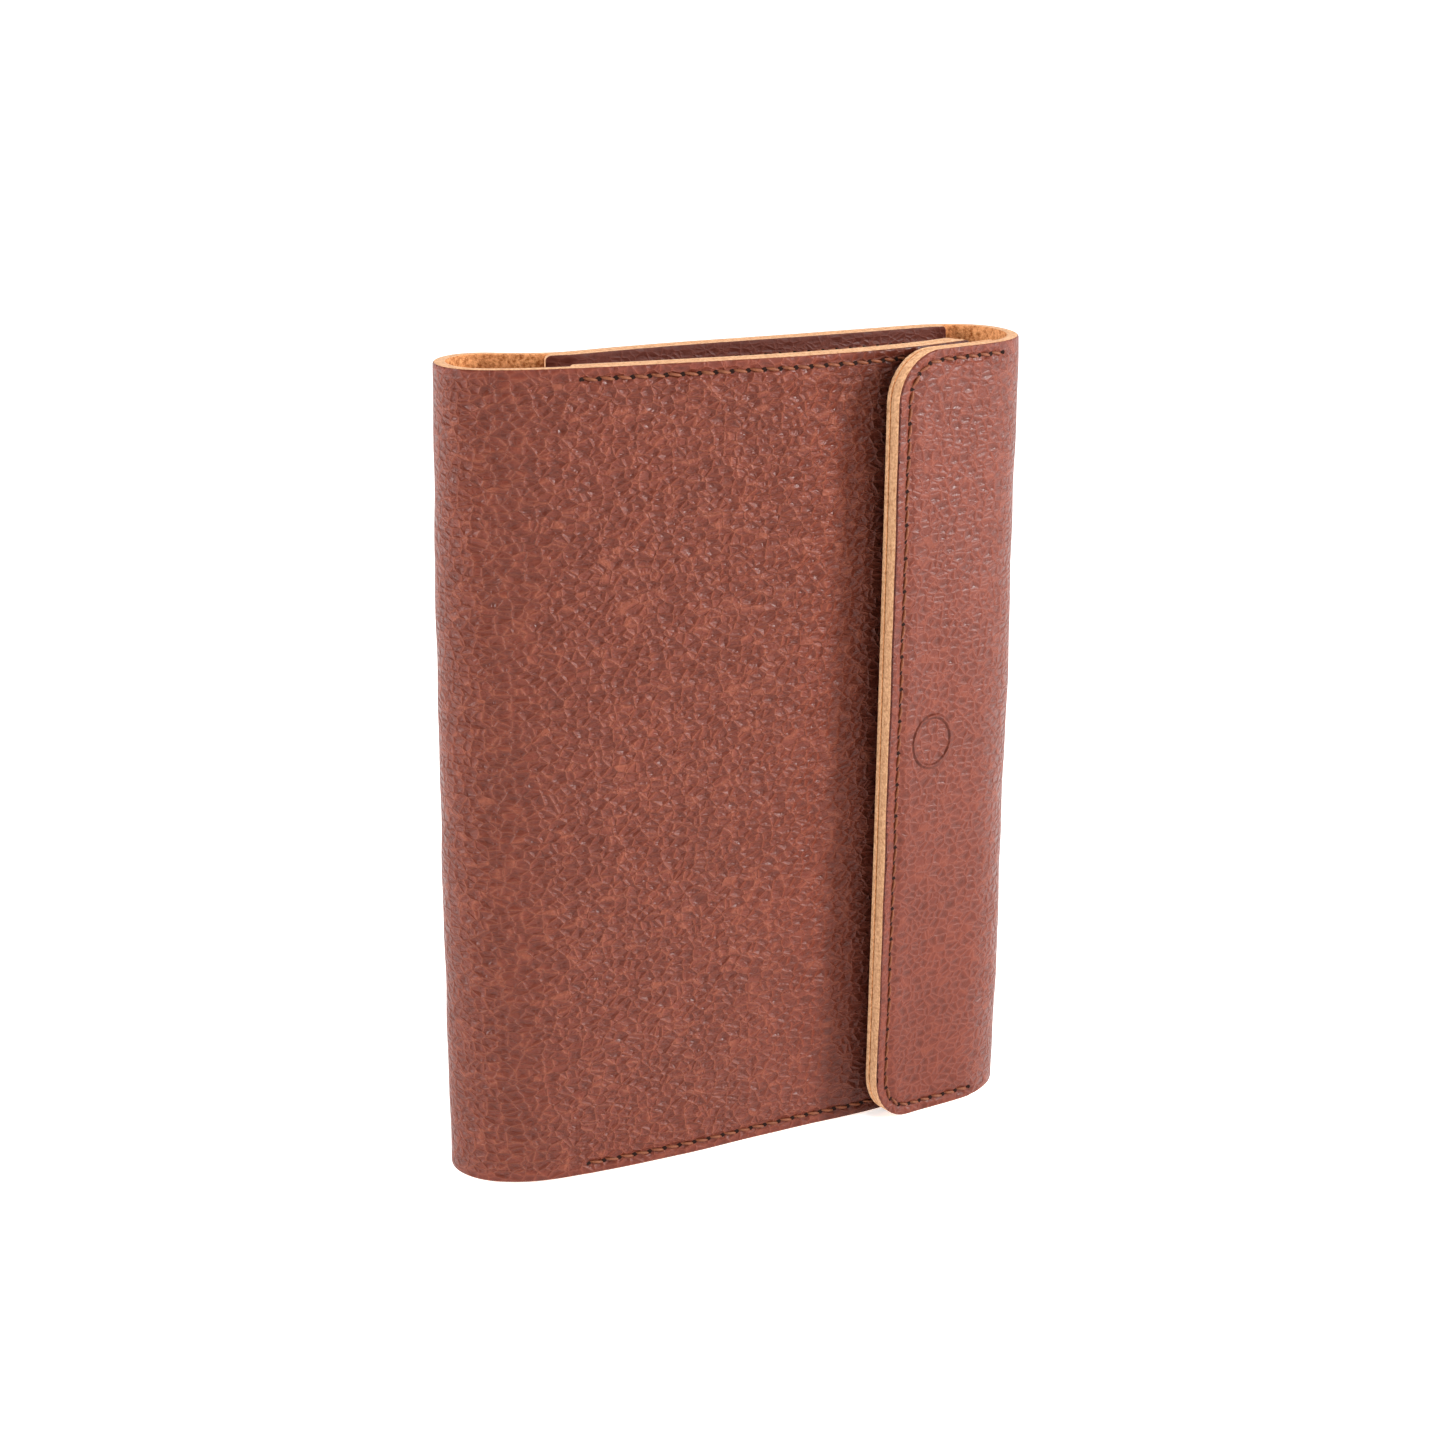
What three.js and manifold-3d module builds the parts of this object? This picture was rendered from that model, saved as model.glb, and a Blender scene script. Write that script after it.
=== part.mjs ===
// Pocket-size leather notebook cover, closed and standing on its lower edges.
// One long leather panel runs from the front cover, round the spine, across the back, round the
// fore-edge and over the front again as a flap. It is drawn as rigid strips that meet at upright
// fold lines on the grain side, so that unfolding opens the joint and never closes it.
// Millimetres. +X points to the fore-edge, -Y to the front, +Z up.
import * as THREE from 'three';
import { mergeVertices } from 'three/addons/utils/BufferGeometryUtils.js';
import Module from 'manifold-3d';

const wasm = await Module();
wasm.setup();

// ---------- driving dimensions ----------
const HEIGHT = 160;             // head to tail, along the folds
const LEATHER = 2.4;            // thickness of every leather layer
const LAYER_GAP = 0.3;          // play between two layers, and between any two neighbours
const FOLD_GAP = 0.3;           // cut between two strips at a fold line
const PARALLEL = 1e-9;          // sine of the angle below which two lines count as one
const WELD = 1e-3;              // corners nearer than this are one corner

const BACK_WIDTH = 106;         // back cover, spine fold to fore-edge fold
const FRONT_SHORTFALL = 5;      // front cover's fore-edge, short of the fore-edge fold
const FRONT_WIDTH = BACK_WIDTH - FRONT_SHORTFALL;
const BODY_DEPTH = 28;          // front face to back face
const SPINE_BEVEL = 9;          // each slanted strip of the spine, in both directions
const TURN_BEVEL = 10;          // each slanted strip of the fore-edge turn, in both directions

const PRESSED_WIDTH = 26;       // stretch of the front cover that the flap presses inwards
const PRESSED_DEPTH = 4.4;      // how far its fore-edge is pressed in

const FLAP_REACH = 31.5;        // fold line to free edge
const FLAP_LEAN = 9;            // degrees, the free edge stands away from the cover
const FLAP_CORNER = 10;         // radius of the two free corners
const FLAP_SET_IN = 2.5;        // front face to the inside of the flap's two layers, at the flap fold
const FLAP_STANDOFF = 2 * LEATHER + LAYER_GAP - FLAP_SET_IN;

const FRONT_POCKET_START = 15;  // spine fold to the open edge of the front pocket
const BACK_POCKET_START = 19;   // spine fold to the open edge of the back pocket
const BACK_POCKET_MARGIN = 1.5; // back pocket's closed edge to the fore-edge fold
const LINING_MARGIN = 1.5;      // flap lining's inner edge to the flap fold

const THREAD = 0.7;             // sewing thread diameter
const SEAM_INSET = 2.2;         // seam line to the cut edge
const SEAM_CORNER = 6;          // radius of a pocket seam's corners
const SEAM_STEPS = 64;          // pieces in one drawn thread
const THREAD_SIDES = 6;         // sides of its cross-section

const MAGNET_DIAMETER = 10;
const MAGNET_THICKNESS = 1.5;
const MAGNET_FROM_EDGE = 12;    // flap's free edge to the magnets' centres
const MAGNET_FROM_END = 38;     // head or tail to the magnets' centres
const ROUND_SIDES = 24;         // sides of a magnet and of its recess
const CORNER_STEPS = 8;         // pieces in a rounded corner of the flap

// ---------- materials ----------
const finish = (color, roughness, metalness = 0) =>
  new THREE.MeshStandardMaterial({ color, roughness, metalness });
const grainLeather = () => finish('#8a4534', 0.5);
const liningLeather = () => finish('#7a3c2c', 0.55);
const thread = () => finish('#8f5a3c', 0.7);
const nickel = () => finish('#c4c4c0', 0.3, 1);

// ---------- fold lines, in plan, on the grain side ----------
const at = (x, y) => new THREE.Vector2(x, y);
const polar = (degrees) => at(Math.cos(THREE.MathUtils.degToRad(degrees)),
  Math.sin(THREE.MathUtils.degToRad(degrees)));

const spineFront = at(0, 0);
const spineLeftFront = at(-SPINE_BEVEL, SPINE_BEVEL);
const spineLeftBack = at(-SPINE_BEVEL, BODY_DEPTH - SPINE_BEVEL);
const spineBack = at(0, BODY_DEPTH);
const turnBack = at(BACK_WIDTH, BODY_DEPTH);
const turnRightBack = at(BACK_WIDTH + TURN_BEVEL, BODY_DEPTH - TURN_BEVEL);
const turnRightFront = at(BACK_WIDTH + TURN_BEVEL, TURN_BEVEL - FLAP_STANDOFF);
const flapFold = at(BACK_WIDTH, -FLAP_STANDOFF);
const flapEdge = polar(180 + FLAP_LEAN).multiplyScalar(FLAP_REACH).add(flapFold);

const pressedFold = at(FRONT_WIDTH - PRESSED_WIDTH, 0);
const frontEdge = at(FRONT_WIDTH, PRESSED_DEPTH);

// The grain side is walked from the front cover's fore-edge to the flap's free edge, so the flesh is
// on the right-hand side of every line.
const direction = (from, to) => to.clone().sub(from).normalize();
const inward = (from, to) => {
  const along = direction(from, to);
  return at(along.y, -along.x);
};
const crossing = (p, u, q, v) => {
  const turn = u.x * v.y - u.y * v.x;
  if (Math.abs(turn) < PARALLEL) return q.clone();
  const away = q.clone().sub(p);
  return p.clone().addScaledVector(u, (away.x * v.y - away.y * v.x) / turn);
};

// A line of corners moved sideways towards the flesh side, with its corners mitred.
function moved(corners, depth) {
  return corners.map((corner, i) => {
    const before = corners[Math.max(i - 1, 0)];
    const after = corners[Math.min(i + 1, corners.length - 1)];
    if (i === 0) return corner.clone().addScaledVector(inward(corner, after), depth);
    if (i === corners.length - 1) return corner.clone().addScaledVector(inward(before, corner), depth);
    const p = before.clone().addScaledVector(inward(before, corner), depth);
    const q = corner.clone().addScaledVector(inward(corner, after), depth);
    return crossing(p, direction(before, corner), q, direction(corner, after));
  });
}

// Cuts a line of corners to the stretch between two distances from its first corner.
function stretch(corners, from, to) {
  const kept = [];
  let walked = 0;
  for (let i = 1; i < corners.length; i += 1) {
    const length = corners[i].distanceTo(corners[i - 1]);
    const along = direction(corners[i - 1], corners[i]);
    const start = Math.max(from - walked, 0);
    const end = Math.min(to - walked, length);
    if (end > start) {
      if (kept.length === 0) kept.push(corners[i - 1].clone().addScaledVector(along, start));
      kept.push(corners[i - 1].clone().addScaledVector(along, end));
    }
    walked += length;
  }
  return kept;
}

// ---------- solids ----------
function toSolid(geometry) {
  const bare = geometry.clone();
  bare.deleteAttribute('normal');
  bare.deleteAttribute('uv');
  const merged = mergeVertices(bare, WELD);
  return new wasm.Manifold(new wasm.Mesh({
    numProp: 3,
    vertProperties: new Float32Array(merged.attributes.position.array),
    triVerts: new Uint32Array(merged.index.array),
  }));
}

function toGeometry(solid) {
  const { vertProperties, triVerts } = solid.getMesh();
  const geometry = new THREE.BufferGeometry();
  geometry.setAttribute('position', new THREE.BufferAttribute(vertProperties, 3));
  geometry.setIndex(new THREE.BufferAttribute(triVerts, 1));
  geometry.computeVertexNormals();
  return geometry;
}

function upright(outline) {
  const ccw = THREE.ShapeUtils.isClockWise(outline) ? [...outline].reverse() : outline;
  return new THREE.ExtrudeGeometry(new THREE.Shape(ccw), { depth: HEIGHT, bevelEnabled: false });
}

// A layer between two depths under a line of corners on the grain side.
function layer(corners, outerDepth, innerDepth) {
  return [...moved(corners, outerDepth), ...moved(corners, innerDepth).reverse()];
}

// One strip of the long panel. Where it meets the next strip its end is mitred along the line that
// halves the fold, less half the fold gap. A free end is cut square.
function strip(start, end, before, after) {
  const along = direction(start, end);
  const halfway = (neighbour, own) => (neighbour
    ? inward(...neighbour).add(inward(start, end)).normalize()
    : own);
  const square = inward(start, end);
  const startCut = halfway(before, square);
  const endCut = halfway(after, square);
  const startOuter = start.clone().addScaledVector(along, before ? FOLD_GAP / 2 : 0);
  const endOuter = end.clone().addScaledVector(along, after ? -FOLD_GAP / 2 : 0);
  const innerLine = start.clone().addScaledVector(square, LEATHER);
  return [startOuter, endOuter,
    crossing(endOuter, endCut, innerLine, along),
    crossing(startOuter, startCut, innerLine, along)];
}

// A plane that stands on a plan line: u runs along it, v is height, depth goes to the flesh side.
function facePoint(line, u, v, depth) {
  const p = line[0].clone().addScaledVector(direction(...line), u).addScaledVector(inward(...line), depth);
  return new THREE.Vector3(p.x, p.y, v);
}

// A round bar square to a face, between two depths under its grain side.
function roundBar(line, u, v, diameter, outerDepth, innerDepth) {
  const bar = new THREE.CylinderGeometry(diameter / 2, diameter / 2, innerDepth - outerDepth, ROUND_SIDES);
  const normal = inward(...line);
  bar.applyQuaternion(new THREE.Quaternion().setFromUnitVectors(
    new THREE.Vector3(0, 1, 0), new THREE.Vector3(normal.x, normal.y, 0)));
  const middle = facePoint(line, u, v, (outerDepth + innerDepth) / 2);
  return bar.translate(middle.x, middle.y, middle.z);
}

const group = new THREE.Group();
function add(name, geometry, material) {
  const mesh = new THREE.Mesh(geometry, material);
  mesh.name = name;
  group.add(mesh);
}

// ---------- magnets: two in the flap, two in the front cover, between their leather layers ----------
const liningDepth = LEATHER + LAYER_GAP;
const recessReach = MAGNET_THICKNESS / 2 + LAYER_GAP;
const magnetHeights = { upper: HEIGHT - MAGNET_FROM_END, lower: MAGNET_FROM_END };
const seamMiddle = LEATHER + LAYER_GAP / 2;

const flapLine = [flapFold, flapEdge];
const pressedLine = [frontEdge, pressedFold];
const flapMagnetU = FLAP_REACH - MAGNET_FROM_EDGE;
const flapMagnetX = facePoint(flapLine, flapMagnetU, 0, 0).x;
const coverMagnetU = (frontEdge.x - flapMagnetX) / Math.abs(direction(...pressedLine).x);

function magnetPair(name, line, u) {
  for (const [place, height] of Object.entries(magnetHeights)) {
    add(`${name}_${place}`, roundBar(line, u, height, MAGNET_DIAMETER,
      seamMiddle - MAGNET_THICKNESS / 2, seamMiddle + MAGNET_THICKNESS / 2), nickel());
  }
}

// Recesses for a pair of magnets, cut from a leather layer on either side of their seam.
function withRecesses(solid, line, u) {
  const bore = MAGNET_DIAMETER + 2 * LAYER_GAP;
  return Object.values(magnetHeights).reduce((left, height) => left.subtract(toSolid(
    roundBar(line, u, height, bore, seamMiddle - recessReach, seamMiddle + recessReach))), solid);
}

// ---------- the long panel ----------
const frontCorners = [frontEdge, pressedFold, spineFront];
const frontMitre = strip(pressedFold, spineFront, null, [spineFront, spineLeftFront]);
const frontInner = moved(frontCorners, LEATHER);
const frontOutline = [frontEdge, pressedFold, frontMitre[1], frontMitre[2], frontInner[1], frontInner[0]];
add('front_cover', toGeometry(withRecesses(toSolid(upright(frontOutline)), pressedLine, coverMagnetU)),
  grainLeather());

const folds = [
  ['spine_front_strip', spineFront, spineLeftFront],
  ['spine_middle_strip', spineLeftFront, spineLeftBack],
  ['spine_back_strip', spineLeftBack, spineBack],
  ['back_cover', spineBack, turnBack],
  ['turn_back_strip', turnBack, turnRightBack],
  ['turn_middle_strip', turnRightBack, turnRightFront],
  ['turn_front_strip', turnRightFront, flapFold],
];
const neighbours = [[pressedFold, spineFront], ...folds.map(([, a, b]) => [a, b]), [flapFold, flapEdge]];
folds.forEach(([name, start, end], i) => {
  add(name, upright(strip(start, end, neighbours[i], neighbours[i + 2])), grainLeather());
});

// ---------- flap and lining, with two rounded free corners ----------
// The face outline of a panel that hangs on the flap's plane, from a distance past the fold to the
// free edge, drawn in the plane and pushed through both layers with a layer to spare on either side.
function roundedFlap(start) {
  const r = FLAP_CORNER;
  const face = new THREE.Shape();
  face.moveTo(start, 0);
  face.lineTo(FLAP_REACH - r, 0);
  face.absarc(FLAP_REACH - r, r, r, -Math.PI / 2, 0, false);
  face.lineTo(FLAP_REACH, HEIGHT - r);
  face.absarc(FLAP_REACH - r, HEIGHT - r, r, 0, Math.PI / 2, false);
  face.lineTo(start, HEIGHT);
  face.closePath();
  const plate = new THREE.ExtrudeGeometry(face, {
    depth: 4 * LEATHER, bevelEnabled: false, curveSegments: CORNER_STEPS,
  });
  const along = direction(...flapLine);
  const flesh = inward(...flapLine);
  plate.applyMatrix4(new THREE.Matrix4().makeBasis(new THREE.Vector3(along.x, along.y, 0),
    new THREE.Vector3(0, 0, 1), new THREE.Vector3(flesh.x, flesh.y, 0)));
  const onTop = facePoint(flapLine, 0, 0, -LEATHER);
  return toSolid(plate.translate(onTop.x, onTop.y, onTop.z));
}

const flapPlan = strip(flapFold, flapEdge, [turnRightFront, flapFold], null);
const flapSolid = toSolid(upright(flapPlan)).intersect(roundedFlap(-LEATHER));
add('flap', toGeometry(withRecesses(flapSolid, flapLine, flapMagnetU)), grainLeather());

const liningPlan = layer(stretch([flapFold, flapEdge], LINING_MARGIN, FLAP_REACH),
  liningDepth, liningDepth + LEATHER);
const liningSolid = toSolid(upright(liningPlan)).intersect(roundedFlap(-LEATHER));
add('flap_lining', toGeometry(withRecesses(liningSolid, flapLine, flapMagnetU)), liningLeather());

// ---------- pockets: one leather panel inside each cover, sewn on three sides ----------
const frontLength = frontEdge.distanceTo(pressedFold) + pressedFold.x;
const frontPocketLine = stretch(frontCorners, 0, frontLength - FRONT_POCKET_START);
const frontPocket = toSolid(upright(layer(frontPocketLine, liningDepth, liningDepth + LEATHER)));
add('front_pocket', toGeometry(withRecesses(frontPocket, pressedLine, coverMagnetU)), liningLeather());

const backLine = [spineBack, turnBack];
const backPocketEnd = BACK_WIDTH - BACK_POCKET_MARGIN;
const backPocketLine = stretch(backLine, BACK_POCKET_START, backPocketEnd);
add('back_pocket', upright(layer(backPocketLine, liningDepth, liningDepth + LEATHER)), liningLeather());

magnetPair('flap_magnet', flapLine, flapMagnetU);
magnetPair('cover_magnet', pressedLine, coverMagnetU);

// ---------- seams: a needle thread on the grain side and a bobbin thread on the inside ----------
// A three-sided seam in a face's own plane: in along the head, round the closed side, back along the
// tail. u grows from the first end to the closed side.
function seamPath(startU, closedU, corner) {
  const path = new THREE.Path();
  path.moveTo(startU, HEIGHT - SEAM_INSET);
  path.lineTo(closedU - corner, HEIGHT - SEAM_INSET);
  path.absarc(closedU - corner, HEIGHT - SEAM_INSET - corner, corner, Math.PI / 2, 0, true);
  path.lineTo(closedU, SEAM_INSET + corner);
  path.absarc(closedU - corner, SEAM_INSET + corner, corner, 0, -Math.PI / 2, true);
  path.lineTo(startU, SEAM_INSET);
  return path;
}

// The same seam laid on a line of corners at a depth under its grain side.
class LaidSeam extends THREE.Curve {
  constructor(path, corners, depth) {
    super();
    Object.assign(this, { path, corners: moved(corners, depth) });
    this.scale = corners.slice(1).map((c, i) => c.distanceTo(corners[i]));
  }

  getPoint(t, target = new THREE.Vector3()) {
    const flat = this.path.getPointAt(t);
    let left = flat.x;
    let i = 0;
    while (i < this.scale.length - 1 && left > this.scale[i]) {
      left -= this.scale[i];
      i += 1;
    }
    const p = this.corners[i].clone().lerp(this.corners[i + 1], left / this.scale[i]);
    return target.set(p.x, p.y, flat.y);
  }
}

function sewn(name, corners, startU, closedU, corner, fleshSide = 1) {
  const section = new THREE.Shape(Array.from({ length: THREAD_SIDES }, (_, i) =>
    polar((360 * (i + 0.5)) / THREAD_SIDES).multiplyScalar(THREAD / 2)));
  const clear = THREAD / 2 + LAYER_GAP;
  const depths = { needle: -clear, bobbin: liningDepth + LEATHER + clear };
  for (const [side, depth] of Object.entries(depths)) {
    add(`${name}_${side}_thread`, new THREE.ExtrudeGeometry(section, {
      steps: SEAM_STEPS,
      bevelEnabled: false,
      extrudePath: new LaidSeam(seamPath(startU, closedU, corner), corners, fleshSide * depth),
    }), thread());
  }
}

// The front seam is walked away from the spine, so the flesh side is on its left.
const frontFromSpine = [...frontCorners].reverse();
sewn('front_seam', frontFromSpine, FRONT_POCKET_START + SEAM_INSET / 2, frontLength - SEAM_INSET,
  SEAM_CORNER, -1);
sewn('back_seam', backLine, BACK_POCKET_START + SEAM_INSET / 2, backPocketEnd - SEAM_INSET, SEAM_CORNER);
sewn('flap_seam', flapLine, LINING_MARGIN + SEAM_INSET / 2, FLAP_REACH - SEAM_INSET,
  FLAP_CORNER - SEAM_INSET);

// ---------- origin at the middle of the footprint ----------
const box = new THREE.Box3().setFromObject(group);
const middle = box.getCenter(new THREE.Vector3());
group.position.set(-middle.x, -middle.y, -box.min.z);
group.updateMatrixWorld(true);

export default group;
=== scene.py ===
import math

import bmesh
import bpy
import numpy as np
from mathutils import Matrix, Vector


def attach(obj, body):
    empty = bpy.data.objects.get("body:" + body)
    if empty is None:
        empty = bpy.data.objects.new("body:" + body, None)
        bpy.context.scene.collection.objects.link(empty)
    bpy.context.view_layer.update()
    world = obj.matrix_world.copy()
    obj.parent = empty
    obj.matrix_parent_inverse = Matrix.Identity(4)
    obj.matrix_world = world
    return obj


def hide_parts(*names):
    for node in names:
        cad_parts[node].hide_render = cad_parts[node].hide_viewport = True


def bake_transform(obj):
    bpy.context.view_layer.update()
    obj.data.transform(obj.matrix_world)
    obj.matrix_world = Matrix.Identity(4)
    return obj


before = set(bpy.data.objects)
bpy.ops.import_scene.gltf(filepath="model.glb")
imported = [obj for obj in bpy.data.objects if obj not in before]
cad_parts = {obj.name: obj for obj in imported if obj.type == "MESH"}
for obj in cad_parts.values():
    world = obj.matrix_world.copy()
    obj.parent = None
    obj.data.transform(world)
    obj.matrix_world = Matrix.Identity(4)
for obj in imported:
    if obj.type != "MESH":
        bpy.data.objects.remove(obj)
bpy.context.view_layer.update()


# ---------- outer panel ----------
# One long piece of pebbled cowhide, from the front cover round the spine, the back and the fore-edge
# turn to the flap. Everything is cut and sewn flat, in millimetres, and folded last, so the grain runs
# on round every fold.
HEIGHT = 160.0
LEATHER = 2.4
MM = 0.001
TOUCH = 1e-4                    # points nearer than this are the same

# The grain side in plan, walked both ways from the middle of the back, as arcs:
# length in mm, bend in degrees at the tail, bend in degrees at the head.
BACK_MIDDLE = (6.5, 17.6)
TO_FRONT_EDGE = [(36, 0, 9), (8, 0, -34), (8, 5, -11), (9, 16, 66), (9, 34, 37), (9, 52, 31),
                 (9, 38, 52), (9, 21, 14), (9, 11, 8), (34, 3, 3), (28, 0, 10), (27, 15, 17)]
TO_FLAP_EDGE = [(36, 3, 4), (9, -18, -4), (9, -52, -37), (9, -24, -49), (9, -16, -25),
                (9, -38, -22), (9, -30, -31), (9, -2, -5), (17, 5, -1)]
FLAP_SHARE = (0.82, 1.03)       # the last arc's length at the tail and at the head
FRONT_EDGE = -193.5
FLAP_EDGE = 116.0


def walk(arcs, heading, s, share):
    """Plan point and heading at distance s along the arcs, at share of the height."""
    x, y = np.full_like(s, BACK_MIDDLE[0]), np.full_like(s, BACK_MIDDLE[1])
    heading = np.full_like(s, heading)
    left = s.copy()
    for i, (length, tail, head) in enumerate(arcs):
        last = i == len(arcs) - 1
        part = left if last else np.clip(left, 0, length)
        stretched = part
        if last and arcs is TO_FLAP_EDGE:
            stretched = part * (FLAP_SHARE[0] * (1 - share) + FLAP_SHARE[1] * share)
        bend = np.radians(tail * (1 - share) + head * share) * part / length
        chord = stretched * np.sinc(bend / math.tau)
        x += chord * np.cos(heading + bend / 2)
        y += chord * np.sin(heading + bend / 2)
        heading += bend
        left = left - part
    return x, y, heading


def folded(s, z, depth):
    """Row-frame points, in metres, of flat points: s along the panel, z up, depth under the grain."""
    share = np.clip(z / HEIGHT, 0, 1)
    front_x, front_y, front = walk(TO_FRONT_EDGE, math.pi, np.maximum(-s, 0), share)
    flap_x, flap_y, flap = walk(TO_FLAP_EDGE, 0.0, np.maximum(s, 0), share)
    to_front = s < 0
    x = np.where(to_front, front_x - depth * np.sin(front), flap_x + depth * np.sin(flap))
    y = np.where(to_front, front_y + depth * np.cos(front), flap_y - depth * np.cos(flap))
    return np.stack([x, y, z], -1) * MM


# A seam runs in along the head, down beside the closed edge and back along the tail.
# Start and closed edge are places along the panel, inset is from head and tail, corner a radius.
SEAMS = {
    "front": {"start": -106.0, "closed": FRONT_EDGE + 2.2, "inset": 2.2, "corner": 4.0},
    "back": {"start": -41.0, "closed": 47.0, "inset": 3.2, "corner": 4.0},
    "flap": {"start": 88.5, "closed": FLAP_EDGE - 3.1, "inset": 2.2, "corner": 7.0},
}


def seam_distance(seam, s, z):
    """Distance in mm from a seam's line, in the flat. It is large beyond the open end."""
    sign = math.copysign(1, seam["closed"] - seam["start"])
    from_closed = (s - seam["closed"]) * sign
    up = np.abs(z - HEIGHT / 2) - (HEIGHT / 2 - seam["inset"])
    r = seam["corner"]
    outside = np.hypot(np.maximum(from_closed + r, 0), np.maximum(up + r, 0)) - r
    inside = np.minimum(np.maximum(from_closed + r, up + r), 0)
    beyond = np.maximum((seam["start"] - s) * sign, 0)
    return np.abs(outside + inside) + 2 * beyond


SWELL = 0.16                    # slow waves of a soft hide
RIPPLE = 0.10                   # shorter ones across them
VALLEY, VALLEY_WIDTH = 0.42, 0.75       # where the thread pulls the grain side down
BANK, BANK_WIDTH, BANK_PLACE = 0.16, 1.3, 2.3       # where it stands up beside the thread


def relief(s, z):
    """Height in mm of the grain side over its flat: slow waves, and a valley along each seam."""
    height = (SWELL * np.sin(s / 7.3 + 0.9 * np.sin(z / 11)) * np.sin(z / 9.1 + 1.1)
              + RIPPLE * np.sin(s / 3.9 + z / 6.7) * np.sin(z / 4.3 - s / 8.9 + 2.0))
    for seam in SEAMS.values():
        away = seam_distance(seam, s, z)
        height = height - VALLEY * np.exp(-(away / VALLEY_WIDTH) ** 2)
        height = height + BANK * np.exp(-((away - BANK_PLACE) / BANK_WIDTH) ** 2)
    return height


def fold_up(mesh):
    """Folds a flat mesh, whose x, y and z are s, height and minus depth, and smooths its shading."""
    flat = np.empty(len(mesh.vertices) * 3)
    mesh.vertices.foreach_get("co", flat)
    s, z, up = flat.reshape(-1, 3).T
    kept = np.clip(1 + up / LEATHER, 0, 1)
    placed = folded(s, z, -up - relief(s, z) * kept)
    mesh.vertices.foreach_set("co", placed.ravel())
    mesh.polygons.foreach_set("use_smooth", [True] * len(mesh.polygons))
    mesh.update()


STEP = 1.3                      # grid of a flat piece, finer beside its ends:
JOIN = (0, 0.15, 0.6)           # distances from an end that is joined to the next stretch
CUT = tuple(0.4 * k for k in range(16) if k != 1)      # and from a cut end
CORNER_CLEAR = 0.3              # from a rounded corner to the next column
CORNER_DEGREES = 9
GRAIN_BEVEL = 0.45
FLESH_BEVEL = 0.2
BEVEL_TILT = 0.3                # bevel faces that look up more than this belong to the grain face
FACE, EDGE, FLESH = 0, 1, 2     # a piece's material slots


def stations(start, end, first, last):
    """Places from start to end, with given distances from each end and even steps between them."""
    head = [start + d for d in first]
    tail = [end - d for d in reversed(last)]
    count = math.ceil((tail[0] - head[-1]) / STEP)
    between = [head[-1] + (tail[0] - head[-1]) * k / count for k in range(1, count)]
    return head + between + tail


def corner_stations(radius):
    """Distances from a cut end of the columns that a rounded corner needs."""
    arc = [radius * (1 - math.cos(math.radians(a))) for a in range(0, 91, CORNER_DEGREES)]
    return tuple(arc) + tuple(d for d in CUT if d > radius + CORNER_CLEAR)


def cut_leather(name, start, end, depth, corners, thickness=LEATHER):
    """A flat plate of leather with rounded rims, folded up. A corner radius of 0 marks an end that
    is joined to the next stretch. Faces are marked as outer face, cut edge or inner face."""
    first = corner_stations(corners[0]) if corners[0] else JOIN
    last = corner_stations(corners[1]) if corners[1] else JOIN
    columns = stations(start, end, first, last)
    rows = [z / HEIGHT for z in stations(0, HEIGHT, CUT, CUT)]
    bm = bmesh.new()
    bmesh.ops.create_grid(bm, x_segments=len(columns) - 1, y_segments=len(rows) - 1, size=1)
    for v in bm.verts:
        s = columns[round((v.co.x + 1) / 2 * (len(columns) - 1))]
        up = rows[round((v.co.y + 1) / 2 * (len(rows) - 1))]
        trim = 0
        for radius, left in zip(corners, (s - start, end - s)):
            if left < radius:
                trim = radius - math.sqrt(radius**2 - (radius - left) ** 2)
        v.co = (s, trim + (HEIGHT - 2 * trim) * up, -depth)
    made = bmesh.ops.extrude_face_region(bm, geom=bm.faces[:])["geom"]
    under = [v for v in made if isinstance(v, bmesh.types.BMVert)]
    bmesh.ops.translate(bm, verts=under, vec=(0, 0, -thickness))
    bmesh.ops.recalc_face_normals(bm, faces=bm.faces[:])
    bm.normal_update()
    for face in bm.faces:
        face.material_index = FACE
        if abs(face.normal.z) < 0.5:
            face.material_index = EDGE
        elif face.normal.z < 0:
            face.material_index = FLESH

    joins = [s for s, radius in zip((start, end), corners) if not radius]
    for side, bevel in ((FACE, GRAIN_BEVEL), (FLESH, FLESH_BEVEL)):
        rim = []
        for e in bm.edges:
            here, there = (v.co.x for v in e.verts)
            joined = abs(here - there) < TOUCH and any(abs(here - s) < TOUCH for s in joins)
            if {face.material_index for face in e.link_faces} == {side, EDGE} and not joined:
                rim.append(e)
        bmesh.ops.bevel(bm, geom=rim, offset=bevel, segments=3, profile=0.5, affect="EDGES",
                        material=-1)
    bm.normal_update()
    for face in bm.faces:
        if face.material_index == EDGE and face.normal.z > BEVEL_TILT:
            face.material_index = FACE

    uv = bm.loops.layers.uv.new("cut")
    for face in bm.faces:
        for loop in face.loops:
            s, z, up = loop.vert.co
            across = up if face.material_index == EDGE else 0
            loop[uv].uv = (s * MM, (z + across) * MM)
    mesh = bpy.data.meshes.new(name)
    bm.to_mesh(mesh)
    bm.free()
    fold_up(mesh)
    piece = bpy.data.objects.new(name, mesh)
    bpy.context.scene.collection.objects.link(piece)
    return piece


def add(tree, kind, links=None, **settings):
    """Adds a node with its settings, and its inputs as links or values."""
    node = tree.nodes.new(kind)
    for key, value in settings.items():
        setattr(node, key, value)
    for key, source in (links or {}).items():
        if isinstance(source, bpy.types.NodeSocket):
            tree.links.new(source, node.inputs[key])
        else:
            node.inputs[key].default_value = source
    return node


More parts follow.
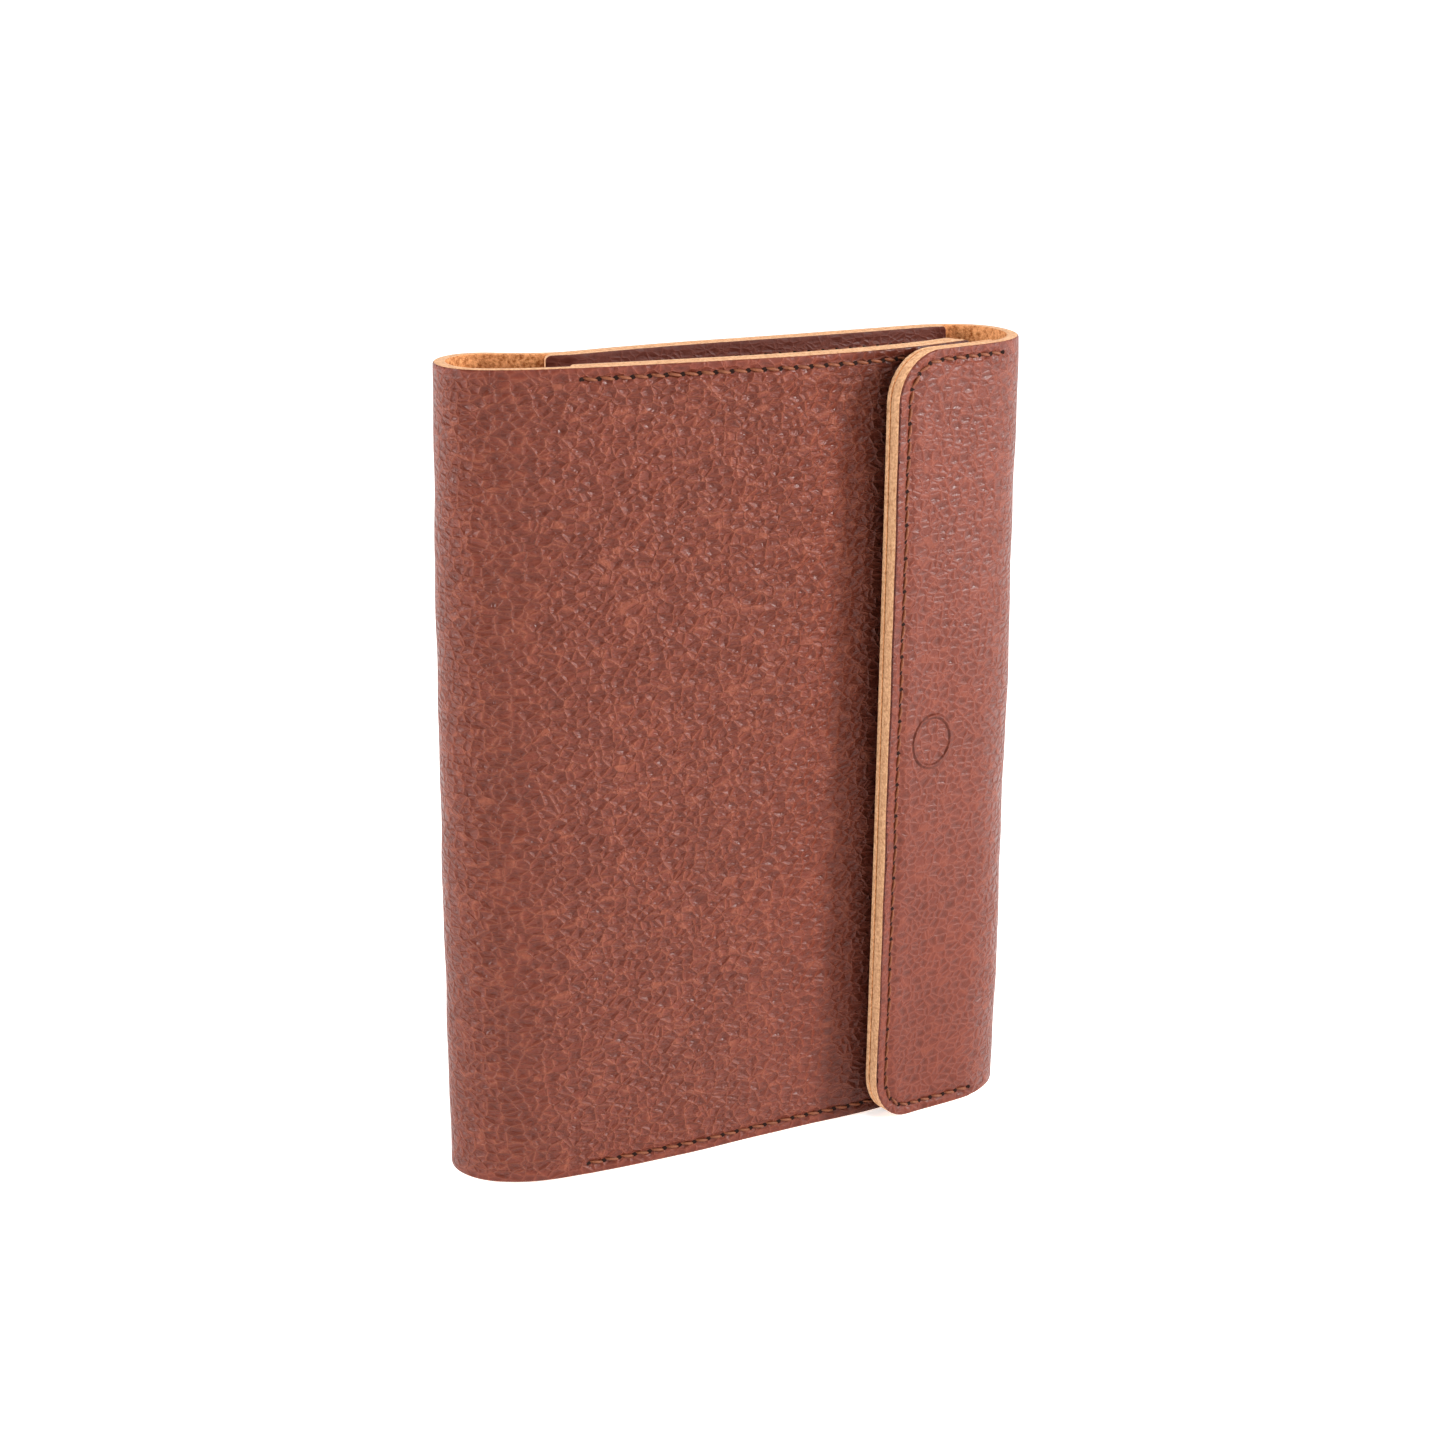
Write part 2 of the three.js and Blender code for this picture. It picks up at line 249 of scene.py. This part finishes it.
def srgb(code):
    """A hex colour as linear red, green, blue and alpha."""
    shares = [int(code[i:i + 2], 16) / 255 for i in (1, 3, 5)]
    return [c / 12.92 if c <= 0.04045 else ((c + 0.055) / 1.055) ** 2.4 for c in shares] + [1.0]


def new_material(name):
    """A node material, its tree and its Principled shader."""
    material = bpy.data.materials.new(name)
    material.use_nodes = True
    return material, material.node_tree, material.node_tree.nodes["Principled BSDF"]


def per_mm(size):
    """The texture scale that gives a pattern of this size in mm on coordinates in metres."""
    return 1 / (size * MM)


# A plain ring debossed half way up the flap.
MARK_CENTRE = (103.5 * MM, 81 * MM, 0)
MARK_RADIUS = 5.2


def pebbled_cowhide(name, crease, cell, deep, cell_size, bump, gloss, ring):
    """Full-grain cowhide, aniline dyed and boarded: thin paler creases round darker, slightly glossy
    pebbles, drawn out a little along the panel. The worn attribute flattens it, and the painted shade
    attribute darkens its colour with painted shade."""
    material, tree, shader = new_material(name)
    flat = add(tree, "ShaderNodeUVMap", uv_map="cut").outputs["UV"]
    worn = add(tree, "ShaderNodeAttribute", attribute_name="worn").outputs["Fac"]
    # The painted shade attribute: how far the colour is darkened by painted shade.
    painted_shade = add(tree, "ShaderNodeAttribute", attribute_name="painted_shade").outputs["Fac"]
    drawn_out = add(tree, "ShaderNodeVectorMath", {0: flat, 1: (0.74, 1.18, 1.0)},
                    operation="MULTIPLY")
    sway = add(tree, "ShaderNodeTexNoise", {"Vector": flat, "Scale": per_mm(5), "Detail": 1.0})
    centred = add(tree, "ShaderNodeVectorMath", {0: sway.outputs["Color"], 1: (0.5, 0.5, 0.5)},
                  operation="SUBTRACT")
    moved = add(tree, "ShaderNodeVectorMath",
                {0: centred.outputs[0], 1: (1.1 * MM,) * 3, 2: drawn_out.outputs[0]},
                operation="MULTIPLY_ADD")
    net = add(tree, "ShaderNodeTexVoronoi",
              {"Vector": moved.outputs[0], "Scale": per_mm(cell_size), "Randomness": 0.85},
              feature="DISTANCE_TO_EDGE")
    fine_net = add(tree, "ShaderNodeTexVoronoi",
                   {"Vector": moved.outputs[0], "Scale": per_mm(cell_size * 0.5)},
                   feature="DISTANCE_TO_EDGE")
    grit = add(tree, "ShaderNodeTexNoise",
               {"Vector": flat, "Scale": per_mm(0.5), "Detail": 3.0, "Roughness": 0.6})
    patch = add(tree, "ShaderNodeTexNoise",
                {"Vector": flat, "Scale": per_mm(14), "Detail": 4.0, "Roughness": 0.62})
    across = add(tree, "ShaderNodeMapRange", {"Value": net.outputs["Distance"], "From Max": 0.45})
    pebble = add(tree, "ShaderNodeMath", {0: across.outputs[0], 1: 0.7}, operation="POWER")
    fine = add(tree, "ShaderNodeMapRange", {"Value": fine_net.outputs["Distance"], "From Max": 0.3},
               interpolation_type="SMOOTHSTEP")
    both = add(tree, "ShaderNodeMath", {0: fine.outputs[0], 1: 0.14, 2: pebble.outputs[0]},
               operation="MULTIPLY_ADD")
    height = add(tree, "ShaderNodeMath", {0: grit.outputs[0], 1: 0.10, 2: both.outputs[0]},
                 operation="MULTIPLY_ADD")
    strength = add(tree, "ShaderNodeMapRange", {"Value": worn, "To Min": 1.0, "To Max": 0.25})
    tall = add(tree, "ShaderNodeMath", {0: height.outputs[0], 1: strength.outputs[0]},
               operation="MULTIPLY")
    from_mark = add(tree, "ShaderNodeVectorMath", {0: flat, 1: MARK_CENTRE}, operation="DISTANCE")
    off_ring = add(tree, "ShaderNodeMath", {0: from_mark.outputs["Value"], 1: MARK_RADIUS * MM},
                   operation="SUBTRACT")
    beside = add(tree, "ShaderNodeMath", {0: off_ring.outputs[0]}, operation="ABSOLUTE")
    pressed = add(tree, "ShaderNodeMapRange",
                  {"Value": beside.outputs[0], "From Max": 0.75 * MM, "To Min": 1.0, "To Max": 0.0},
                  interpolation_type="SMOOTHSTEP")
    stamped = add(tree, "ShaderNodeMath", {0: pressed.outputs[0], 1: -ring, 2: tall.outputs[0]},
                  operation="MULTIPLY_ADD")
    bumped = add(tree, "ShaderNodeBump", {"Height": stamped.outputs[0], "Distance": bump * MM})
    tree.links.new(bumped.outputs[0], shader.inputs["Normal"])

    line = add(tree, "ShaderNodeMapRange",
               {"Value": net.outputs["Distance"], "From Max": 0.10, "To Min": 0.50, "To Max": 0.0},
               interpolation_type="SMOOTHSTEP")
    fine_line = add(tree, "ShaderNodeMapRange",
                    {"Value": fine_net.outputs["Distance"], "From Max": 0.10, "To Min": 0.16,
                     "To Max": 0.0}, interpolation_type="SMOOTHSTEP")
    lines = add(tree, "ShaderNodeMath", {0: line.outputs[0], 1: fine_line.outputs[0]},
                operation="MAXIMUM")
    rubbed = add(tree, "ShaderNodeMapRange",
                 {"Value": grit.outputs[0], "From Min": 0.3, "From Max": 0.68, "To Min": 0.25,
                  "To Max": 1.0})
    kept = add(tree, "ShaderNodeMapRange", {"Value": worn, "To Min": 1.0, "To Max": 0.35})
    seen = add(tree, "ShaderNodeMath", {0: lines.outputs[0], 1: rubbed.outputs[0]},
               operation="MULTIPLY")
    shown = add(tree, "ShaderNodeMath", {0: seen.outputs[0], 1: kept.outputs[0]},
                operation="MULTIPLY")
    body = add(tree, "ShaderNodeMix", {0: pebble.outputs[0], 6: srgb(cell), 7: srgb(deep)},
               data_type="RGBA")
    plain = add(tree, "ShaderNodeMix",
                {0: shown.outputs[0], 6: body.outputs[2], 7: srgb(crease)}, data_type="RGBA")
    cloudy = add(tree, "ShaderNodeMapRange",
                 {"Value": patch.outputs[0], "From Min": 0.3, "From Max": 0.7, "To Min": 0.93,
                  "To Max": 1.06})
    # Painted shade: dim darkens the colour where the painted shade attribute is set; light and dyed
    # carry it on, together with the random cloudy tone.
    dim = add(tree, "ShaderNodeMapRange", {"Value": painted_shade, "To Min": 1.0, "To Max": 0.22})
    light = add(tree, "ShaderNodeMath", {0: cloudy.outputs[0], 1: dim.outputs[0]},
                operation="MULTIPLY")
    dyed = add(tree, "ShaderNodeVectorMath", {0: plain.outputs[2], "Scale": light.outputs[0]},
               operation="SCALE")
    tree.links.new(dyed.outputs[0], shader.inputs["Base Color"])
    shine = add(tree, "ShaderNodeMapRange",
                {"Value": both.outputs[0], "To Min": gloss + 0.2, "To Max": gloss})
    tree.links.new(shine.outputs[0], shader.inputs["Roughness"])
    shader.inputs["Specular IOR Level"].default_value = 0.17
    return material


def cut_edge():
    """Veg-tanned core laid bare by the knife: pale tan, fibrous and matt."""
    material, tree, shader = new_material("cut_edge_leather")
    place = add(tree, "ShaderNodeTexCoord").outputs["Object"]
    fibre = add(tree, "ShaderNodeTexNoise",
                {"Vector": place, "Scale": per_mm(0.6), "Detail": 4.0, "Roughness": 0.65})
    tint = add(tree, "ShaderNodeValToRGB", {"Fac": fibre.outputs[0]})
    tint.color_ramp.elements[0].position = 0.32
    tint.color_ramp.elements[0].color = srgb("#9c6a42")
    tint.color_ramp.elements[1].position = 0.62
    tint.color_ramp.elements[1].color = srgb("#d3a57c")
    bumped = add(tree, "ShaderNodeBump", {"Height": fibre.outputs[0], "Distance": 0.12 * MM})
    tree.links.new(tint.outputs[0], shader.inputs["Base Color"])
    tree.links.new(bumped.outputs[0], shader.inputs["Normal"])
    shader.inputs["Roughness"].default_value = 0.85
    return material


def flesh_suede():
    """The flesh side: brushed, granular orange-brown suede with dark specks between the fibres."""
    material, tree, shader = new_material("flesh_side_suede")
    place = add(tree, "ShaderNodeTexCoord").outputs["Object"]
    nap = add(tree, "ShaderNodeTexNoise",
              {"Vector": place, "Scale": per_mm(0.8), "Detail": 4.0, "Roughness": 0.7})
    tint = add(tree, "ShaderNodeValToRGB", {"Fac": nap.outputs[0]})
    tint.color_ramp.elements[0].position = 0.34
    tint.color_ramp.elements[0].color = srgb("#86481f")
    tint.color_ramp.elements[1].position = 0.60
    tint.color_ramp.elements[1].color = srgb("#d69461")
    bumped = add(tree, "ShaderNodeBump", {"Height": nap.outputs[0], "Distance": 0.35 * MM})
    tree.links.new(tint.outputs[0], shader.inputs["Base Color"])
    tree.links.new(bumped.outputs[0], shader.inputs["Normal"])
    shader.inputs["Roughness"].default_value = 0.95
    shader.inputs["Specular IOR Level"].default_value = 0.15
    return material


def ramp(x, start, end):
    """0 up to start, 1 from end on, and straight between them."""
    return np.clip((x - start) / (end - start), 0, 1)


def mark_wear_and_painted_shade(piece):
    """Stores how far the grain is pressed smooth, and how far the colour is darkened by painted shade
    where the flap's shadow falls, as shares, on each corner. Places and widths are in mm."""
    uv = piece.data.uv_layers["cut"].data
    flat = np.empty(len(uv) * 2)
    uv.foreach_get("uv", flat)
    s, z = flat.reshape(-1, 2).T / MM
    from_rim = np.minimum(np.minimum(z, HEIGHT - z), np.minimum(s - FRONT_EDGE, FLAP_EDGE - s))
    to_flap = (0.92 - 0.22 * z / HEIGHT) * ramp(s, 78, 90)
    to_front_edge = 0.75 * ramp(-s, 128, 178) * ramp(149.5 - z, 0, 130)
    on_spine = 0.5 * np.exp(-((s + 70) / 7) ** 2)
    worn = np.maximum(np.maximum(to_flap, to_front_edge), on_spine)
    worn = np.maximum(worn, 0.8 * ramp(2.56 - from_rim, 0, 1.6))
    for seam in SEAMS.values():
        worn = np.maximum(worn, 0.55 * np.exp(-(seam_distance(seam, s, z) / 1.4) ** 2))
    # Painted shade for the flap's shadow: darkens the front cover's leather in the strip of about 30
    # mm along its free edge that the flap covers, fading out over 10 mm.
    painted_flap_shade = 0.5 * ramp(-s, 156, 166)
    for name, values in (("worn", worn), ("painted_shade", painted_flap_shade)):
        layer = piece.data.attributes.new(name, "FLOAT", "CORNER")
        layer.data.foreach_set("value", values.astype(np.float32))


grain = pebbled_cowhide("pebbled_aniline_cowhide", crease="#8d523a", cell="#652c1f", deep="#4d1f14",
                        cell_size=1.8, bump=0.62, gloss=0.30, ring=1.1)
edge = cut_edge()
suede = flesh_suede()

# Each stretch: its ends along the panel, the two bodies it joins, where its bend starts and ends in
# plan, and the strips of the frame that it covers.
STRETCHES = [
    ("front_and_spine_leather", FRONT_EDGE, -89.0, "front", "spine_front", (-44, -7.8), (-53.8, -4.8),
     ["front_cover", "spine_front_strip"]),
    ("spine_front_leather", -89.0, -77.0, "spine_front", "spine_middle", (-57, -3.2), (-61, 3),
     ["spine_middle_strip"]),
    ("spine_back_leather", -77.0, -65.0, "spine_middle", "spine_back", (-60.6, 8.6), (-58.9, 12.4),
     ["spine_back_strip"]),
    ("spine_and_back_leather", -65.0, 0.0, "spine_back", "back", (-53.9, 17.3), (-44, 18.7),
     ["back_cover"]),
    ("back_and_turn_leather", 0.0, 52.5, "back", "turn_back", (46, 18.4), (56, 16.1),
     ["turn_back_strip"]),
    ("turn_back_leather", 52.5, 63.0, "turn_back", "turn_middle", (58.6, 13.3), (60.7, 8.4),
     ["turn_middle_strip"]),
    ("turn_front_leather", 63.0, 75.0, "turn_middle", "turn_front", (60.8, 2.3), (60, -1.7),
     ["turn_front_strip"]),
    ("turn_and_flap_leather", 75.0, FLAP_EDGE, "turn_front", "flap", (56, -9.1), (51, -12.4),
     ["flap"]),
]
FRONT_CORNER = 3.0
FLAP_CORNER = 10.0
for name, start, end, one, other, bend_start, bend_end, strips in STRETCHES:
    corners = (FRONT_CORNER if start == FRONT_EDGE else 0, FLAP_CORNER if end == FLAP_EDGE else 0)
    piece = cut_leather(name, start, end, 0, corners)
    mark_wear_and_painted_shade(piece)
    for material in (grain, edge, suede):
        piece.data.materials.append(material)
    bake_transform(piece)
    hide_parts(*strips)


# ---------- pockets and flap lining ----------
# Three more pieces of the same hide, smoother and darker, sewn in behind the front cover, the back
# cover and the flap. They lie flesh side to flesh side with the panel, so their grain faces the pages.
SEWN_GAP = 0.1
SKIVED = 1.2                    # the flap lining is pared to half its thickness
INNER_CORNER = 1.0
LININGS = [
    ("front_pocket_leather", "front", FRONT_EDGE, -104.8, (FRONT_CORNER, INNER_CORNER), LEATHER,
     "front_pocket"),
    ("back_pocket_leather", "back", -42.2, 50.4, (INNER_CORNER, INNER_CORNER), LEATHER,
     "back_pocket"),
    ("flap_lining_leather", "flap", 87.3, FLAP_EDGE, (INNER_CORNER, FLAP_CORNER), SKIVED,
     "flap_lining"),
]
lining_grain = pebbled_cowhide("smooth_lining_cowhide", crease="#6b3424", cell="#522318",
                               deep="#481d13", cell_size=1.5, bump=0.18, gloss=0.42, ring=0.0)
for name, body, start, end, corners, thickness, node in LININGS:
    piece = cut_leather(name, start, end, LEATHER + SEWN_GAP, corners, thickness)
    mark_wear_and_painted_shade(piece)
    for material in (suede, edge, lining_grain):
        piece.data.materials.append(material)
    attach(piece, body)
    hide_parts(node)


# ---------- lockstitch seams ----------
# Waxed brown polyester thread, machine sewn through both layers. Each stitch dips into its two holes
# and lies a little aslant. Needle thread shows on the grain side, bobbin thread on the inside.
STITCH = 3.3
STITCH_SHARE = 0.46             # half a stitch's length over the pitch
STITCH_ARCH = 0.28              # how far its middle stands up
STITCH_SUNK = 0.05
THREAD = 0.62
SLANT = math.radians(11)
HOLE_RADIUS = 0.58
HOLE_SQUASH = 0.8
HOLE_LIFT = 0.05


def waxed_thread():
    """Waxed bonded polyester: mid-brown, with a soft sheen along its twist."""
    material, tree, shader = new_material("waxed_polyester_thread")
    place = add(tree, "ShaderNodeTexCoord").outputs["Object"]
    twist = add(tree, "ShaderNodeTexNoise", {"Vector": place, "Scale": per_mm(0.4)})
    tint = add(tree, "ShaderNodeValToRGB", {"Fac": twist.outputs[0]})
    tint.color_ramp.elements[0].color = srgb("#43200f")
    tint.color_ramp.elements[1].color = srgb("#84482a")
    tree.links.new(tint.outputs[0], shader.inputs["Base Color"])
    shader.inputs["Roughness"].default_value = 0.5
    shader.inputs["Specular IOR Level"].default_value = 0.2
    return material


# The mouth of a needle hole: painted shade, a flat dark disc where the hole's wall is out of the
# light.
painted_hole_shade, _, hole_shader = new_material("needle_hole_shadow")
hole_shader.inputs["Base Color"].default_value = srgb("#1c0d09")
hole_shader.inputs["Roughness"].default_value = 0.9
hole_shader.inputs["Specular IOR Level"].default_value = 0.1


def seam_places(seam):
    """Holes of a seam at an even pitch, as place along the panel and height, in the flat."""
    sign = math.copysign(1, seam["closed"] - seam["start"])
    r = seam["corner"]
    run = abs(seam["closed"] - seam["start"]) - r
    arc = math.pi / 2 * r
    head = HEIGHT - seam["inset"]
    drop = 2 * (head - r) - HEIGHT
    total = 2 * (run + arc) + drop
    count = round(total / STITCH)
    for k in range(count + 1):
        along = total * k / count
        mirrored = along > total / 2
        left = total - along if mirrored else along
        if left < run:
            s, z = seam["start"] + sign * left, head
        elif left < run + arc:
            turn = (left - run) / r
            s = seam["closed"] - sign * r + sign * r * math.sin(turn)
            z = head - r + r * math.cos(turn)
        else:
            s, z = seam["closed"], head - r - (left - run - arc)
        yield s, (HEIGHT - z if mirrored else z)


def sew(name, seam, body, depth, outward, node):
    """One face of a seam: a plump stitch between each two holes, and the holes' dark mouths as discs
    of painted shade.
    """
    places = list(seam_places(seam))
    stitches, holes = bmesh.new(), bmesh.new()
    for (s0, z0), (s1, z1) in zip(places, places[1:]):
        made = bmesh.ops.create_uvsphere(stitches, u_segments=8, v_segments=7, radius=1)["verts"]
        length = math.hypot(s1 - s0, z1 - z0)
        angle = math.atan2(z1 - z0, s1 - s0) + SLANT
        for v in made:
            along, across = v.co.z * length * STITCH_SHARE, v.co.x * THREAD / 2
            up = v.co.y * THREAD / 2 + STITCH_ARCH * (1 - v.co.z**2) - STITCH_SUNK
            v.co = ((s0 + s1) / 2 + along * math.cos(angle) - across * math.sin(angle),
                    (z0 + z1) / 2 + along * math.sin(angle) + across * math.cos(angle),
                    -depth + outward * up)
    for s, z in places:
        made = bmesh.ops.create_circle(holes, cap_ends=True, segments=10,
                                       radius=HOLE_RADIUS)["verts"]
        for v in made:
            v.co = (s + v.co.x, z + v.co.y * HOLE_SQUASH, -depth + outward * HOLE_LIFT)
    bmesh.ops.recalc_face_normals(stitches, faces=stitches.faces[:])
    for face in holes.faces:
        if face.normal.z * outward < 0:
            face.normal_flip()
    for part, bm, material in (("thread", stitches, brown_thread), ("holes", holes, painted_hole_shade)):
        mesh = bpy.data.meshes.new(f"{name}_{part}")
        bm.to_mesh(mesh)
        bm.free()
        fold_up(mesh)
        mesh.materials.append(material)
        piece = bpy.data.objects.new(mesh.name, mesh)
        bpy.context.scene.collection.objects.link(piece)
        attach(piece, body)
        if part == "thread":
            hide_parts(node)


brown_thread = waxed_thread()
for body, seam in SEAMS.items():
    under = LEATHER + SEWN_GAP + (SKIVED if body == "flap" else LEATHER)
    sew(f"{body}_needle", seam, body, 0.0, 1, f"{body}_seam_needle_thread")
    sew(f"{body}_bobbin", seam, body, under, -1, f"{body}_seam_bobbin_thread")


# ---------- magnets ----------
# Two pairs of nickel-plated neodymium discs that hold the flap down. Each is let into the flesh side
# between the leather and its lining or pocket before the seam is sewn, so none of them shows.
MAGNET_RADIUS = 5.0
MAGNET_THICKNESS = 1.5
MAGNET_RIM = 0.2
MAGNET_DEPTH = 2.25             # grain side to the middle of a disc
MAGNET_HEIGHTS = {"upper": 122.0, "lower": 38.0}
MAGNET_PLACES = {"flap": ("flap", 104.0), "cover": ("front", -180.0)}

nickel, _, nickel_shader = new_material("nickel_plated_magnet")
nickel_shader.inputs["Base Color"].default_value = srgb("#c9c6bd")
nickel_shader.inputs["Metallic"].default_value = 1.0
nickel_shader.inputs["Roughness"].default_value = 0.25
for part, (body, s) in MAGNET_PLACES.items():
    for place, z in MAGNET_HEIGHTS.items():
        bm = bmesh.new()
        bmesh.ops.create_cone(bm, cap_ends=True, segments=48, radius1=MAGNET_RADIUS,
                              radius2=MAGNET_RADIUS, depth=MAGNET_THICKNESS)
        rims = [e for e in bm.edges if abs(e.verts[0].co.z - e.verts[1].co.z) < TOUCH]
        bmesh.ops.bevel(bm, geom=rims, offset=MAGNET_RIM, segments=2, profile=0.5, affect="EDGES",
                        material=-1)
        bmesh.ops.translate(bm, verts=bm.verts[:], vec=(s, z, -MAGNET_DEPTH))
        mesh = bpy.data.meshes.new(f"{part}_magnet_disc_{place}")
        bm.to_mesh(mesh)
        bm.free()
        fold_up(mesh)
        mesh.materials.append(nickel)
        piece = bpy.data.objects.new(mesh.name, mesh)
        bpy.context.scene.collection.objects.link(piece)
        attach(piece, body)
        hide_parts(f"{part}_magnet_{place}")


# ---------- floor, light and camera ----------
# A round table of white paper that turns up at its far rim and glows a little. A small key light from
# the right, a weak one from the front, a rim light on the spine's side and a soft one overhead.
TABLE_RADIUS = 8
TABLE_RIM = 2.5
UNDER_PART = 0.0002             # keeps the table clear of the lower edges

paper, _, paper_shader = new_material("matt_white_paper")
paper_shader.inputs["Base Color"].default_value = srgb("#fbfbfb")
paper_shader.inputs["Roughness"].default_value = 0.9
paper_shader.inputs["Specular IOR Level"].default_value = 0.1
paper_shader.inputs["Emission Color"].default_value = (1, 1, 1, 1)
paper_shader.inputs["Emission Strength"].default_value = 0.62

bm = bmesh.new()
bmesh.ops.create_circle(bm, cap_ends=True, segments=64, radius=TABLE_RADIUS)
rim = bmesh.ops.extrude_edge_only(bm, edges=bm.edges[:])["geom"]
raised = [v for v in rim if isinstance(v, bmesh.types.BMVert)]
bmesh.ops.translate(bm, verts=raised, vec=(0, 0, TABLE_RIM))
table_mesh = bpy.data.meshes.new("floor")
bm.to_mesh(table_mesh)
bm.free()
table_mesh.materials.append(paper)
table = bpy.data.objects.new("floor", table_mesh)
bpy.context.scene.collection.objects.link(table)
table.location.z = -UNDER_PART

world = bpy.data.worlds.new("studio")
world.use_nodes = True
world.node_tree.nodes["Background"].inputs["Color"].default_value = (1, 1, 1, 1)
world.node_tree.nodes["Background"].inputs["Strength"].default_value = 0.35
bpy.context.scene.world = world
bpy.context.scene.view_settings.view_transform = "Standard"

# Name, place in metres, width in metres and power in watts.
LIGHTS = [("right_key_softbox", (0.95, -0.60, 0.50), 0.20, 17.0),
          ("front_softbox", (0.42, -0.85, 0.74), 0.25, 5.0),
          ("left_softbox", (-0.90, 0.22, 0.45), 0.4, 11.0),
          ("overhead_softbox", (0.0, -0.25, 1.1), 0.4, 4.0)]
AIM = Vector((0, 0, HEIGHT / 2 * MM))
for name, place, size, watts in LIGHTS:
    lamp = bpy.data.lights.new(name, "AREA")
    lamp.size = size
    lamp.energy = watts
    light = bpy.data.objects.new(name, lamp)
    light.location = place
    light.rotation_euler = (AIM - Vector(place)).to_track_quat("-Z", "Y").to_euler()
    bpy.context.scene.collection.objects.link(light)

lens = bpy.data.cameras.new("camera")
lens.lens = 59.8
lens.sensor_width = 36
camera = bpy.data.objects.new("camera", lens)
camera.location = (-0.2194, -0.4073, 0.2205)
camera.rotation_euler = (math.radians(73.73), 0, math.radians(-27.8))
bpy.context.scene.collection.objects.link(camera)
bpy.context.scene.camera = camera
